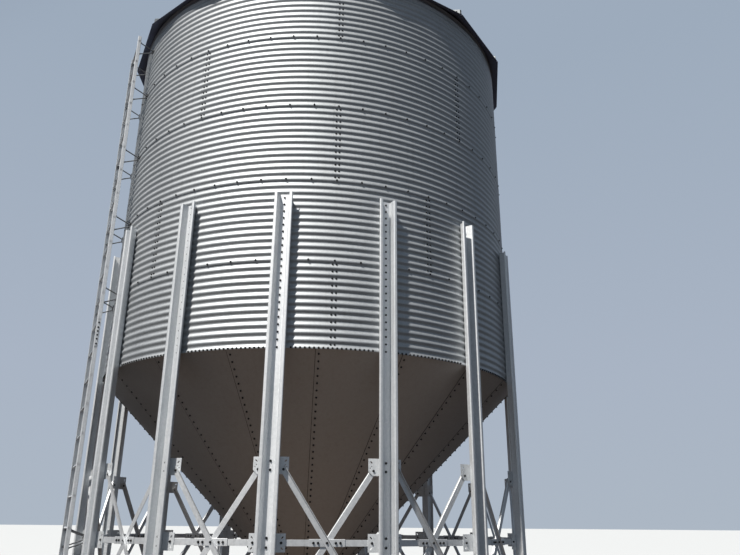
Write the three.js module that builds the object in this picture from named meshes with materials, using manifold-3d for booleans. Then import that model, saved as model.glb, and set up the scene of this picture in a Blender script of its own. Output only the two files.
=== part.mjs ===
// Hopper-bottomed grain silo on fifteen legs, in millimetres, +Z up, standing on level ground.
// Angles round the silo are in degrees from the front (-Y), turning towards +X.
import * as THREE from 'three';
import { mergeVertices } from 'three/addons/utils/BufferGeometryUtils.js';
import Module from 'manifold-3d';

const wasm = await Module();
wasm.setup();

// Gap between pieces that touch on the real silo
const SEAT = 0.3;

// Wall: five rings of corrugated sheet, each thirty-two inches high
const WALL_RADIUS = 2286;
const CORRUGATION_DEPTH = 12.7;
const RING_HEIGHT = 812.8;
const RING_COUNT = 5;
const WALL_FACETS = 60;
const CREST = WALL_RADIUS + CORRUGATION_DEPTH / 2;
const TROUGH = WALL_RADIUS - CORRUGATION_DEPTH / 2;

// Heights above the ground
const RIM_HEIGHT = 2850;
const WALL_TOP = RIM_HEIGHT + RING_COUNT * RING_HEIGHT;
const LEG_TOP = RIM_HEIGHT + 1455;

// Legs: a hat section that opens outwards, its web flat against the wall
const LEG_COUNT = 15;
const BAY_ANGLE = 360 / LEG_COUNT;
const WEB_HALF = 43;
const BEND_HALF = 56;
const FLANGE_HALF = 85;
const LEG_DEPTH = 75;
const LIP = 16;
const LEG_SHEET = 5;
const LEG_BEND = 7;
const BASE_PLATE = { width: 260, depth: 120, thickness: 14 };

// Bracing: one crossed pair and one strut to each bay
const GUSSET = {
  thickness: 6,
  behindWeb: 50,
  webClearance: 4,
  reach: 100,
  height: 140,
  chamfer: 26,
  pastBrace: 30,
};
const STRUT = { drop: 1576, height: 50, lapOnGusset: 60 };
const BRACE = { width: 50, flange: 22, sheet: 4, endAcross: 372, endRise: 560 };

// Hopper: a cone of forty-five degrees, down to a round outlet
const HOPPER_FACETS = 72;
const HOPPER_SHEET = 8;
const HOPPER_EDGE = 12;
const OUTLET_RADIUS = 205;
const COLLAR_DROP = 110;
const OUTLET_FLANGE = { half: 270, thickness: 10 };
const GATE = { half: 235, thickness: 8, handle: 110, rail: 26, railHeight: 22 };

// Roof: fifteen flat panels at thirty degrees, their edges turned up into ribs over the legs
const ROOF_PITCH = THREE.MathUtils.degToRad(30);
const EAVE_RADIUS = 2413;
const ROOF_SHEET = 8;
const RIB = { height: 62, width: 30, inset: 26 };
const PEAK_RADIUS = 330;
const PEAK = { height: 150, below: 62, sheet: 8 };
const LID = { overhang: 34, skirt: 60, rise: 90, sheet: 8 };

// Ladder: in the middle of a bay, bracketed to the wall once a ring and to one strut. Its lower
// section is ten feet long
const LADDER = { angle: -60, radius: 2448, width: 508, railWidth: 34, railDepth: 38 };
const RUNG = { radius: 11, pitch: 285 };
const LADDER_TOP = RIM_HEIGHT + 4000;
const LADDER_FOOT = 370;
const LADDER_JOINT = LADDER_FOOT + 10 * RUNG.pitch;
const BRACKET = {
  belowSeam: 34,
  belowTop: 158,
  railSpread: 80,
  footSpread: 14,
  radius: 7,
  foot: 50,
  footThickness: 8,
};

// Finishes
const galvanised = new THREE.MeshStandardMaterial({ color: 0xb9bec2, roughness: 0.42, metalness: 0.85 });
const galvanisedWall = new THREE.MeshStandardMaterial({ color: 0xc4c8ca, roughness: 0.38, metalness: 0.85 });
const galvanisedDark = new THREE.MeshStandardMaterial({ color: 0x8d9091, roughness: 0.5, metalness: 0.8 });

const silo = new THREE.Group();

// Adds a named piece, turned round the silo's axis
function place(name, geometry, material, degrees = 0) {
  const piece = new THREE.Mesh(geometry, material);
  piece.name = name;
  piece.rotation.z = THREE.MathUtils.degToRad(degrees);
  silo.add(piece);
  return piece;
}

// Joins overlapping closed shapes into one solid
function join(geometries) {
  const solids = geometries.map(toSolid);
  return toGeometry(solids.reduce((whole, part) => whole.add(part)));
}

// Cuts one closed shape away from another
function cut(body, tool) {
  return toGeometry(toSolid(body).subtract(toSolid(tool)));
}

function toSolid(geometry) {
  const bare = geometry.clone();
  bare.deleteAttribute('normal');
  bare.deleteAttribute('uv');
  const merged = mergeVertices(bare, 1e-4);
  return new wasm.Manifold(new wasm.Mesh({
    numProp: 3,
    vertProperties: new Float32Array(merged.attributes.position.array),
    triVerts: new Uint32Array(merged.index.array),
  }));
}

function toGeometry(solid) {
  const mesh = solid.getMesh();
  const geometry = new THREE.BufferGeometry();
  geometry.setAttribute('position', new THREE.BufferAttribute(mesh.vertProperties, 3));
  geometry.setIndex(new THREE.BufferAttribute(mesh.triVerts, 1));
  return geometry;
}

// Upright prism on an outline of [x, y] points
function prism(outline, bottom, height) {
  const shape = new THREE.Shape(outline.map(([x, y]) => new THREE.Vector2(x, y)));
  const geometry = new THREE.ExtrudeGeometry(shape, { depth: height, bevelEnabled: false });
  return geometry.translate(0, 0, bottom);
}

function block(width, depth, height, x, y, z) {
  return new THREE.BoxGeometry(width, depth, height).translate(x, y, z);
}

// Round bar between two points
function bar(from, to, radius, sides = 8) {
  const along = new THREE.Vector3().subVectors(to, from);
  const rod = new THREE.CylinderGeometry(radius, radius, along.length(), sides);
  const axis = new THREE.Vector3(0, 1, 0);
  const turn = new THREE.Quaternion().setFromUnitVectors(axis, along.clone().normalize());
  rod.applyQuaternion(turn);
  const middle = new THREE.Vector3().addVectors(from, to).multiplyScalar(0.5);
  return rod.translate(middle.x, middle.y, middle.z);
}

// Solid of revolution from a closed profile of [apothem, height] points, listed anticlockwise
function turned(profile, facets, firstCorner) {
  const outward = 1 / Math.cos(Math.PI / facets);
  const points = profile.map(([apothem, height]) => new THREE.Vector2(apothem * outward, height));
  points.push(points[0].clone());
  const lathe = new THREE.LatheGeometry(points, facets, THREE.MathUtils.degToRad(firstCorner));
  return lathe.rotateX(Math.PI / 2);
}

// Rounds the corners of an open path of [x, y] points
function rounded(path, radius, steps = 3) {
  const result = [path[0]];
  for (let i = 1; i < path.length - 1; i += 1) {
    const corner = new THREE.Vector2(...path[i]);
    const back = new THREE.Vector2(...path[i - 1]).sub(corner).normalize();
    const ahead = new THREE.Vector2(...path[i + 1]).sub(corner).normalize();
    const half = Math.acos(THREE.MathUtils.clamp(back.dot(ahead), -1, 1)) / 2;
    const trim = radius / Math.tan(half);
    const start = corner.clone().addScaledVector(back, trim);
    const end = corner.clone().addScaledVector(ahead, trim);
    const curve = new THREE.QuadraticBezierCurve(start, corner, end);
    for (const point of curve.getPoints(steps)) {
      result.push([point.x, point.y]);
    }
  }
  result.push(path[path.length - 1]);
  return result;
}

// Outline of a sheet that follows a path, half its thickness to each side
function sheetAlong(path, thickness) {
  const points = path.map(([x, y]) => new THREE.Vector2(x, y));
  const left = [];
  const right = [];
  points.forEach((point, i) => {
    const before = points[Math.max(i - 1, 0)];
    const after = points[Math.min(i + 1, points.length - 1)];
    const first = i > 0 ? point.clone().sub(before).normalize() : after.clone().sub(point).normalize();
    const second = i < points.length - 1 ? after.clone().sub(point).normalize() : first.clone();
    const normal = new THREE.Vector2(-first.y - second.y, first.x + second.x).normalize();
    const reach = thickness / 2 / normal.dot(new THREE.Vector2(-first.y, first.x));
    left.push([point.x + normal.x * reach, point.y + normal.y * reach]);
    right.unshift([point.x - normal.x * reach, point.y - normal.y * reach]);
  });
  return left.concat(right);
}

// One leg, at the front of the silo: hat section welded to its base plate
function makeLeg() {
  const web = LEG_SHEET / 2;
  const flange = LEG_DEPTH - LEG_SHEET / 2;
  const side = FLANGE_HALF - LEG_SHEET / 2;
  const half = [[side, LEG_DEPTH - LIP], [side, flange], [BEND_HALF, flange], [WEB_HALF, web]];
  const mirrored = half.map(([x, y]) => [-x, y]).reverse();
  const path = rounded(half.concat(mirrored), LEG_BEND);
  const inner = CREST + SEAT;
  const outline = sheetAlong(path, LEG_SHEET).map(([x, outwards]) => [x, -inner - outwards]);
  const channel = prism(outline, BASE_PLATE.thickness - 1, LEG_TOP - BASE_PLATE.thickness + 1);
  const plate = block(BASE_PLATE.width, BASE_PLATE.depth, BASE_PLATE.thickness,
    0, -inner - BASE_PLATE.depth / 2, BASE_PLATE.thickness / 2);
  return join([channel, plate]);
}

// Height and distances of one brace bay, seen at the front of the silo
const BAY_HALF_ANGLE = THREE.MathUtils.degToRad(BAY_ANGLE / 2);
const GUSSET_RADIUS = CREST - GUSSET.thickness / 2;
const BAY_DISTANCE = GUSSET_RADIUS * Math.cos(BAY_HALF_ANGLE) + GUSSET.behindWeb * Math.sin(BAY_HALF_ANGLE);
const STRUT_HEIGHT = RIM_HEIGHT - STRUT.drop;

// Gusset plate at the right end of a bay: flat behind the leg's web, then bent into the bay's plane
function makeGusset(height, tapersTowards) {
  const outwards = new THREE.Vector2(Math.sin(BAY_HALF_ANGLE), -Math.cos(BAY_HALF_ANGLE));
  const along = new THREE.Vector2(Math.cos(BAY_HALF_ANGLE), Math.sin(BAY_HALF_ANGLE));
  const root = outwards.clone().multiplyScalar(GUSSET_RADIUS).addScaledVector(along, -GUSSET.webClearance);
  const bend = outwards.clone().multiplyScalar(GUSSET_RADIUS).addScaledVector(along, -GUSSET.behindWeb);
  const path = [[root.x, root.y], [bend.x, bend.y], [bend.x - GUSSET.reach, bend.y]];
  const plate = prism(sheetAlong(path, GUSSET.thickness), height - GUSSET.height / 2, GUSSET.height);
  if (tapersTowards === 0) {
    return plate;
  }
  const corner = block(GUSSET.chamfer * 2, GUSSET.thickness * 4, GUSSET.chamfer * 2, 0, 0, 0);
  corner.rotateY(Math.PI / 4);
  corner.translate(bend.x - GUSSET.reach, bend.y, height + tapersTowards * GUSSET.height / 2);
  return cut(plate, corner);
}

// Brace of angle section between two points of the bay's plane; side is +1 outside it, -1 inside it
function makeBrace(side) {
  const length = 2 * Math.hypot(BRACE.endAcross, BRACE.endRise) + BRACE.width;
  const face = GUSSET.thickness / 2;
  const flat = block(length, BRACE.sheet, BRACE.width, 0, -side * (face + BRACE.sheet / 2), 0);
  const flange = block(length, BRACE.flange, BRACE.sheet,
    0, -side * (face + BRACE.flange / 2), (BRACE.width - BRACE.sheet) / 2);
  const angle = join([flat, flange]);
  angle.rotateY(side * Math.atan2(BRACE.endRise, BRACE.endAcross));
  return angle.translate(0, -BAY_DISTANCE, STRUT_HEIGHT);
}

function mirroredX(geometry) {
  return toGeometry(toSolid(geometry).mirror([1, 0, 0]));
}

function makeBraceBay() {
  const endDistance = BRACE.endRise + GUSSET.pastBrace;
  const gussets = [
    makeGusset(STRUT_HEIGHT + endDistance, -1),
    makeGusset(STRUT_HEIGHT, 0),
    makeGusset(STRUT_HEIGHT - endDistance, 1),
  ];
  const gussetEdge = BAY_DISTANCE * Math.tan(BAY_HALF_ANGLE) - GUSSET.behindWeb - GUSSET.reach;
  const strutHalf = gussetEdge + STRUT.lapOnGusset;
  const strut = block(strutHalf * 2, GUSSET.thickness, STRUT.height, 0, -BAY_DISTANCE, STRUT_HEIGHT);
  return join([...gussets, ...gussets.map(mirroredX), strut, makeBrace(1), makeBrace(-1)]);
}

// Wall ring: the envelope of the corrugated sheet
function makeRing(index) {
  const bottom = RIM_HEIGHT + index * RING_HEIGHT + SEAT / 2;
  const top = bottom + RING_HEIGHT - SEAT;
  const profile = [[CREST, bottom], [CREST, top], [TROUGH, top], [TROUGH, bottom]];
  return turned(profile, WALL_FACETS, 180 / WALL_FACETS);
}

// Hopper cone, its rolled upper edge under the wall
const HOPPER_BOTTOM = RIM_HEIGHT - (WALL_RADIUS - OUTLET_RADIUS);

function makeHopper() {
  const wallThickness = HOPPER_SHEET * Math.SQRT2;
  const top = RIM_HEIGHT - SEAT / 2;
  const profile = [
    [OUTLET_RADIUS, HOPPER_BOTTOM],
    [WALL_RADIUS, RIM_HEIGHT - HOPPER_EDGE],
    [WALL_RADIUS, top],
    [WALL_RADIUS - wallThickness, top],
    [WALL_RADIUS - wallThickness, RIM_HEIGHT - HOPPER_EDGE],
    [OUTLET_RADIUS - wallThickness, HOPPER_BOTTOM],
  ];
  return turned(profile, HOPPER_FACETS, 0);
}

// Outlet collar, with the square flange that carries the slide gate
const FLANGE_BOTTOM = HOPPER_BOTTOM - COLLAR_DROP;

function makeCollar() {
  const sides = HOPPER_FACETS / 2;
  const outward = 1 / Math.cos(Math.PI / sides);
  const height = COLLAR_DROP - SEAT;
  const outer = new THREE.CylinderGeometry(OUTLET_RADIUS * outward, OUTLET_RADIUS * outward, height, sides);
  outer.rotateX(Math.PI / 2).translate(0, 0, FLANGE_BOTTOM + height / 2);
  const width = OUTLET_FLANGE.half * 2;
  const flangeMiddle = FLANGE_BOTTOM + OUTLET_FLANGE.thickness / 2;
  const flange = block(width, width, OUTLET_FLANGE.thickness, 0, 0, flangeMiddle);
  const inner = (OUTLET_RADIUS - HOPPER_SHEET * Math.SQRT2) * outward;
  const bore = new THREE.CylinderGeometry(inner, inner, COLLAR_DROP * 3, sides);
  bore.rotateX(Math.PI / 2).translate(0, 0, FLANGE_BOTTOM);
  return cut(join([outer, flange]), bore);
}

// Slide gate: the plate under the flange, its two rails and its pull bar, closed
function makeGate() {
  const top = FLANGE_BOTTOM - SEAT;
  const plate = block(GATE.half * 2, GATE.half * 2 + GATE.handle, GATE.thickness,
    0, -GATE.handle / 2, top - GATE.thickness / 2);
  const pull = block(GATE.half * 2, GATE.thickness, GATE.rail * 2,
    0, -GATE.half - GATE.handle + GATE.thickness / 2, top - GATE.rail);
  return join([plate, pull]);
}

function makeGateRail(side) {
  const gap = 1;
  const top = FLANGE_BOTTOM - SEAT;
  const inner = GATE.half + gap;
  const outer = OUTLET_FLANGE.half;
  const upright = block(outer - inner, OUTLET_FLANGE.half * 2, GATE.railHeight,
    side * (inner + outer) / 2, 0, top - GATE.railHeight / 2);
  const shelfTop = top - GATE.thickness - gap;
  const shelfHeight = GATE.railHeight - GATE.thickness - gap;
  const shelf = block(outer - inner + GATE.rail, OUTLET_FLANGE.half * 2, shelfHeight,
    side * (outer + inner - GATE.rail) / 2, 0, shelfTop - shelfHeight / 2);
  return join([upright, shelf]);
}

// Roof: a pyramid of flat panels and a rib along each joint, open at the peak
const PANEL_APOTHEM = EAVE_RADIUS * Math.cos(BAY_HALF_ANGLE);
const ROOF_SEAT_DROP = (PANEL_APOTHEM - CREST) * Math.tan(ROOF_PITCH);
const EAVE_HEIGHT = WALL_TOP + SEAT / 2 - ROOF_SEAT_DROP;
const PEAK_HEIGHT = EAVE_HEIGHT + (PANEL_APOTHEM - PEAK_RADIUS) * Math.tan(ROOF_PITCH);

function makeRoof() {
  const rise = ROOF_SHEET / Math.cos(ROOF_PITCH);
  const shell = turned([
    [PANEL_APOTHEM, EAVE_HEIGHT],
    [PANEL_APOTHEM, EAVE_HEIGHT + rise],
    [PEAK_RADIUS, PEAK_HEIGHT + rise],
    [PEAK_RADIUS, PEAK_HEIGHT],
  ], LEG_COUNT, 0);
  const outward = 1 / Math.cos(BAY_HALF_ANGLE);
  const foot = (PANEL_APOTHEM - RIB.inset) * outward;
  const head = (PEAK_RADIUS + RIB.inset) * outward;
  const slope = (PEAK_HEIGHT - EAVE_HEIGHT) / ((PANEL_APOTHEM - PEAK_RADIUS) * outward);
  const footHeight = EAVE_HEIGHT + slope * (EAVE_RADIUS - foot) + rise / 2;
  const headHeight = EAVE_HEIGHT + slope * (EAVE_RADIUS - head) + rise / 2;
  const side = [[foot, footHeight], [foot, footHeight + RIB.height], [head, headHeight + RIB.height],
    [head, headHeight]];
  const rib = prism(side, -RIB.width / 2, RIB.width);
  rib.rotateX(Math.PI / 2);
  rib.rotateZ(-Math.PI / 2);
  const ribs = [];
  for (let i = 0; i < LEG_COUNT; i += 1) {
    ribs.push(rib.clone().rotateZ(THREE.MathUtils.degToRad(i * BAY_ANGLE)));
  }
  return join([shell, ...ribs]);
}

// Peak collar: the upright ring round the fill hole, with a foot on the roof
function makePeakCollar() {
  const foot = PEAK_RADIUS - SEAT;
  const base = PEAK_HEIGHT - PEAK.below;
  const top = PEAK_HEIGHT + PEAK.height;
  return turned([
    [foot, base],
    [foot, top],
    [foot - PEAK.sheet, top],
    [foot - PEAK.sheet, base],
  ], LEG_COUNT * 2, BAY_ANGLE / 4);
}

// Lid: a shallow cone with a skirt, resting on the collar
function makeLid() {
  const skirt = PEAK_RADIUS + LID.overhang;
  const rim = PEAK_HEIGHT + PEAK.height + SEAT;
  const points = [
    [0, rim], [skirt - LID.sheet, rim], [skirt - LID.sheet, rim - LID.skirt], [skirt, rim - LID.skirt],
    [skirt, rim + LID.sheet], [0, rim + LID.rise],
  ].map(([radius, height]) => new THREE.Vector2(radius, height));
  return new THREE.LatheGeometry(points, 30).rotateX(Math.PI / 2);
}

// Rails and rungs of one ladder section, at the front of the silo
const RAIL_X = (LADDER.width - LADDER.railWidth) / 2;

function makeLadderSection(foot, top) {
  const y = -LADDER.radius;
  const height = top - foot;
  const pieces = [];
  for (const side of [-1, 1]) {
    pieces.push(block(LADDER.railWidth, LADDER.railDepth, height, side * RAIL_X, y, foot + height / 2));
  }
  const firstRung = foot + RUNG.pitch / 2;
  for (let z = firstRung; z < top; z += RUNG.pitch) {
    pieces.push(bar(new THREE.Vector3(-RAIL_X, y, z), new THREE.Vector3(RAIL_X, y, z), RUNG.radius));
  }
  return pieces;
}

// Lower section, held off one strut
function makeLowerLadder() {
  const pieces = makeLadderSection(LADDER_FOOT, LADDER_JOINT - SEAT);
  const strutFace = BAY_DISTANCE + GUSSET.thickness / 2 + SEAT;
  for (const side of [-1, 1]) {
    pieces.push(...makeBracket(side * RAIL_X, STRUT_HEIGHT, strutFace, 0));
  }
  return join(pieces);
}

// Upper section, held off the wall once a ring
function makeUpperLadder() {
  const pieces = makeLadderSection(LADDER_JOINT, LADDER_TOP);
  const heights = [LADDER_TOP - BRACKET.belowTop];
  for (let ring = 1; ring < RING_COUNT; ring += 1) {
    heights.push(RIM_HEIGHT + ring * RING_HEIGHT - BRACKET.belowSeam);
  }
  const facetAngle = 360 / WALL_FACETS;
  for (const z of heights) {
    for (const side of [-1, 1]) {
      pieces.push(...makeBracket(side * RAIL_X, z, CREST + SEAT, side * facetAngle));
    }
  }
  return join(pieces);
}

// Bracket from one rail: two round arms that close in, like a V on its side, on a foot. The foot
// lies on a flat face at a distance from the silo's axis, turned by an angle from the ladder's plane
function makeBracket(x, z, distance, faceAngle) {
  const turn = THREE.MathUtils.degToRad(faceAngle);
  const middle = distance + BRACKET.footThickness / 2;
  const sideways = (x - middle * Math.sin(turn)) / Math.cos(turn);
  const foot = block(BRACKET.foot, BRACKET.footThickness, BRACKET.foot, sideways, -middle, z);
  foot.rotateZ(turn);
  const seat = new THREE.Vector3(sideways, -middle, z).applyAxisAngle(new THREE.Vector3(0, 0, 1), turn);
  const rail = -LADDER.radius + LADDER.railDepth / 2 - BRACKET.radius;
  const arms = [-1, 1].map((side) => {
    const end = seat.clone().setZ(z + side * BRACKET.footSpread);
    return bar(new THREE.Vector3(x, rail, z + side * BRACKET.railSpread), end, BRACKET.radius);
  });
  return [foot, ...arms];
}

const leg = makeLeg();
const braceBay = makeBraceBay();
for (let i = 0; i < LEG_COUNT; i += 1) {
  const number = String(i + 1).padStart(2, '0');
  place(`leg_${number}`, leg, galvanised, i * BAY_ANGLE);
  place(`brace_bay_${number}`, braceBay, galvanised, (i + 0.5) * BAY_ANGLE);
}
for (let i = 0; i < RING_COUNT; i += 1) {
  place(`wall_ring_${i + 1}`, makeRing(i), galvanisedWall);
}
place('hopper_cone', makeHopper(), galvanisedDark);
place('outlet_collar', makeCollar(), galvanised);
place('slide_gate', makeGate(), galvanised);
place('gate_rail_left', makeGateRail(-1), galvanised);
place('gate_rail_right', makeGateRail(1), galvanised);
place('roof', makeRoof(), galvanisedWall);
place('peak_collar', makePeakCollar(), galvanised);
place('fill_lid', makeLid(), galvanised);
place('ladder_lower', makeLowerLadder(), galvanised, LADDER.angle);
place('ladder_upper', makeUpperLadder(), galvanised, LADDER.angle);

// The origin lies on the ground under the middle of the whole, which is a little in front of the
// silo's axis, because fifteen legs and panels put a corner at the front and a flat at the back
const box = new THREE.Box3().setFromObject(silo, true);
silo.position.x = -(box.min.x + box.max.x) / 2;
silo.position.y = -(box.min.y + box.max.y) / 2;

export default silo;
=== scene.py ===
# %% [markdown]
# # A hopper-bottomed grain silo
# The silo is a tank of corrugated galvanised sheet that stands on fifteen steel legs over a cone.
# Its dimensions are settled already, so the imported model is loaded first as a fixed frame. Every
# piece made below goes where that frame has it, in metres, with the ground at height nought.

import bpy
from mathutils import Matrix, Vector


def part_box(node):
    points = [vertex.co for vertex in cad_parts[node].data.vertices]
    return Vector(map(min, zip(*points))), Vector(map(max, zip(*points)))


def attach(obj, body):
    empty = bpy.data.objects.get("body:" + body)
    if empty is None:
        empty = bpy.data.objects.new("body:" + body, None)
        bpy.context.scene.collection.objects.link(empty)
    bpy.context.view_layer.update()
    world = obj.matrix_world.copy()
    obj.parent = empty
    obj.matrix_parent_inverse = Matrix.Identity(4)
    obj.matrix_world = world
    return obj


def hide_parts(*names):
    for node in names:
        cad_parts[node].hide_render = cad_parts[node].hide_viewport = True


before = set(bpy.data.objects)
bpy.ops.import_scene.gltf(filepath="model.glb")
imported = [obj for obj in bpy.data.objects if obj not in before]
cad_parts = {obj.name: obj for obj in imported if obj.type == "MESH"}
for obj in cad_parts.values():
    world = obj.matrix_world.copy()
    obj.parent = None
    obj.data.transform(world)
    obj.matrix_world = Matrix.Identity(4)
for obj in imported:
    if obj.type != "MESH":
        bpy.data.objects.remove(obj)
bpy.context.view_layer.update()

# %% [markdown]
# ## Working in millimetres, round an axis
# Sheet metal is drawn in millimetres, and almost everything here repeats round the silo's axis.
# So one value turns millimetres to metres, the axis is read from the lowest wall ring, and pieces
# are made at the front, about the axis, and then turned to their places.

# %% Units, seeds and the axis
import math

import bpy
import numpy as np
from mathutils import Matrix, Vector

MM = 0.001
chance = np.random.default_rng(15)
scene = bpy.context.scene

ring_low, ring_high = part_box("wall_ring_1")
AXIS = np.array([(ring_low.x + ring_high.x) / 2, (ring_low.y + ring_high.y) / 2, 0.0])
RIM = round(ring_low.z, 3)
RIGHT, BACK, UP = np.eye(3)
OUT = -BACK
print("axis:", AXIS, "rim height:", RIM)


def directions(degrees):
    """Unit vectors along the wall, towards +X at the front, and straight out from it."""
    turn = np.radians(degrees)
    level = np.zeros_like(turn, dtype=float)
    along = np.stack([np.cos(turn), np.sin(turn), level], axis=-1)
    outward = np.stack([np.sin(turn), -np.cos(turn), level], axis=-1)
    return along, outward


def on_silo(radius, degrees, height):
    """Points at a distance from the axis, an angle from the front and a height."""
    radius, degrees, height = np.broadcast_arrays(radius, degrees, height)
    return AXIS + directions(degrees)[1] * radius[..., None] + UP * height[..., None]


def turned_to(shape, degrees):
    """A shape made at the front, about the axis, turned to its place round the silo."""
    points, faces = shape
    along, outward = directions(degrees)
    return AXIS + points @ np.stack([along, -outward, UP]), faces


def parts_at(parts, degrees):
    return [(turned_to(shape, degrees), finish) for shape, finish in parts]


# %% [markdown]
# ## Shapes before objects
# A shape is a pair: an array of points and a list of faces. Bent sheet could be modelled by hand
# with a Solidify modifier, but thousands of small regular pieces are quicker and exact as arrays.
# Four ways of making a shape are enough: a thin shell between two grids, a sweep of an outline,
# a turned profile and a punched plate.

# %% Joining shapes, and the faces between rows of points
def joined(shapes):
    points, faces, start = [], [], 0
    for some_points, some_faces in shapes:
        points.append(some_points)
        faces += [tuple(start + i for i in face) for face in some_faces]
        start += len(some_points)
    return np.concatenate(points), faces


def mirrored(shape):
    """The same shape for the other hand: x changes sign, and the faces turn round with it."""
    points, faces = shape
    return points * [-1.0, 1.0, 1.0], [face[::-1] for face in faces]


def quads(index):
    corners = np.stack([index[:-1, :-1], index[:-1, 1:], index[1:, 1:], index[1:, :-1]], axis=-1)
    return [tuple(face) for face in corners.reshape(-1, 4).tolist()]


def closed(index):
    """Rows of point numbers that come back to their first point."""
    return np.concatenate([index, index[:, :1]], axis=1)


# %% A thin shell between an outer and an inner grid of points
def shell(outer, inner):
    rows, columns, _ = outer.shape
    front = np.arange(rows * columns).reshape(rows, columns)
    back = front + rows * columns
    edge = np.concatenate([front[0, :-1], front[:-1, -1], front[-1, :0:-1], front[::-1, 0]])
    rim = np.stack([edge + rows * columns, edge])
    points = np.concatenate([outer.reshape(-1, 3), inner.reshape(-1, 3)])
    return points, quads(front) + quads(back[:, ::-1]) + quads(rim)


# %% An outline swept from a start to an end, and round bars
def sweep(outline, start, end, side, top):
    """Solid whose outline is drawn in two directions, sideways and up its own plane."""
    start, end, side, top = (np.array(vector, float) for vector in (start, end, side, top))
    x, y = np.array(outline, float).T
    area = np.sum(x * np.roll(y, -1) - y * np.roll(x, -1))
    if area * np.dot(np.cross(side, top), end - start) < 0:
        x, y = x[::-1], y[::-1]
    flat = x[:, None] * side + y[:, None] * top
    index = np.arange(2 * len(x)).reshape(2, -1)
    lids = [tuple(index[0, ::-1].tolist()), tuple(index[1].tolist())]
    return np.concatenate([start + flat, end + flat]), quads(closed(index)) + lids


def circle(radius, sides, first=0.0):
    turn = first + np.arange(sides) * 2 * math.pi / sides
    return np.stack([np.cos(turn), np.sin(turn)], axis=-1) * radius


def bar(start, end, radius, sides, clocked=0.0):
    """Round bar between two points, or a hexagonal one with six sides."""
    ahead = np.subtract(end, start)
    ahead = ahead / np.linalg.norm(ahead)
    side = np.cross(ahead, UP if abs(ahead[2]) < 0.9 else RIGHT)
    side /= np.linalg.norm(side)
    return sweep(circle(radius, sides, clocked), start, end, side, np.cross(side, ahead))


# %% Bent sheet: a path with rounded bends, and the outline of the sheet that follows it
def with_bends(path, radius, steps=3):
    path = np.array(path, float)
    bent = [path[0]]
    for before, corner, after in zip(path[:-2], path[1:-1], path[2:]):
        back = (before - corner) / np.linalg.norm(before - corner)
        ahead = (after - corner) / np.linalg.norm(after - corner)
        half = math.acos(np.clip(np.dot(back, ahead), -1, 1)) / 2
        trim = radius / math.tan(half)
        start, end = corner + back * trim, corner + ahead * trim
        for t in np.linspace(0, 1, steps + 1):
            bent.append((1 - t) ** 2 * start + 2 * t * (1 - t) * corner + t ** 2 * end)
    bent.append(path[-1])
    return np.array(bent)


def sheet_outline(path, thickness):
    steps = np.diff(path, axis=0)
    steps /= np.linalg.norm(steps, axis=1)[:, None]
    first = np.concatenate([steps[:1], steps])
    second = np.concatenate([steps, steps[-1:]])
    normal = np.stack([-(first + second)[:, 1], (first + second)[:, 0]], axis=-1)
    normal /= np.linalg.norm(normal, axis=1)[:, None]
    reach = thickness / 2 / np.sum(normal * np.stack([-first[:, 1], first[:, 0]], axis=-1), axis=1)
    offset = normal * reach[:, None]
    return np.concatenate([path + offset, (path - offset)[::-1]])


# %% A profile of radius and height, turned round the silo's axis
def turned(profile, sides):
    """Closed ring from a profile listed anticlockwise, with the radius to the right."""
    radius, height = np.array(profile, float).T
    points = on_silo(radius, np.arange(sides)[:, None] * 360 / sides, height)
    index = np.arange(points.size // 3).reshape(sides, -1)
    return points.reshape(-1, 3), quads(closed(np.concatenate([index, index[:1]])).T)


# %% A plate with punched holes, drawn as a flat filled curve
HOLE_RADIUS = 4.5 * MM
SLOT_RADIUS, SLOT_LENGTH = 5 * MM, 24 * MM
CUT_EDGE = 0.6 * MM


def new_object(name, data):
    thing = bpy.data.objects.new(name, data)
    scene.collection.objects.link(thing)
    return thing


def round_hole(x, y):
    return circle(HOLE_RADIUS, 16) + [x, y]


def slot_hole(x, y, degrees):
    turn = math.radians(degrees)
    reach = np.array([math.cos(turn), math.sin(turn)]) * (SLOT_LENGTH / 2 - SLOT_RADIUS)
    cap = circle(SLOT_RADIUS, 16, turn - math.pi / 2)[:9]
    return np.concatenate([[x, y] + reach + cap, [x, y] - reach - cap])


def punched_plate(outlines, thickness):
    """Plate in the XY plane, its lower face at nought. The first outline is the plate's own."""
    curve = bpy.data.curves.new("plate", "CURVE")
    curve.dimensions = "2D"
    curve.fill_mode = "BOTH"
    curve.extrude = thickness / 2 - CUT_EDGE
    curve.bevel_depth = CUT_EDGE
    curve.bevel_resolution = 1
    curve.offset = -CUT_EDGE
    for outline in outlines:
        spline = curve.splines.new("POLY")
        spline.points.add(len(outline) - 1)
        for point, (x, y) in zip(spline.points, outline):
            point.co = (x, y, 0, 1)
        spline.use_cyclic_u = True
    blank = new_object("plate", curve)
    mesh = blank.evaluated_get(bpy.context.evaluated_depsgraph_get()).to_mesh()
    points = np.array([vertex.co for vertex in mesh.vertices]) + UP * thickness / 2
    faces = [tuple(face.vertices) for face in mesh.polygons]
    bpy.data.objects.remove(blank)
    return points, faces


# %% [markdown]
# ## From shapes to pieces
# Each node of the frame gets one detailed piece, made of several shapes that each have a finish.
# Edges sharper than a set angle stay crisp and the rest are shaded smooth, which is what rolled
# sheet looks like. Every sheet has a tone of its own, because no two weather quite alike.

# %% Making a piece
CREASE = math.radians(32)
faces_made = 0


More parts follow.
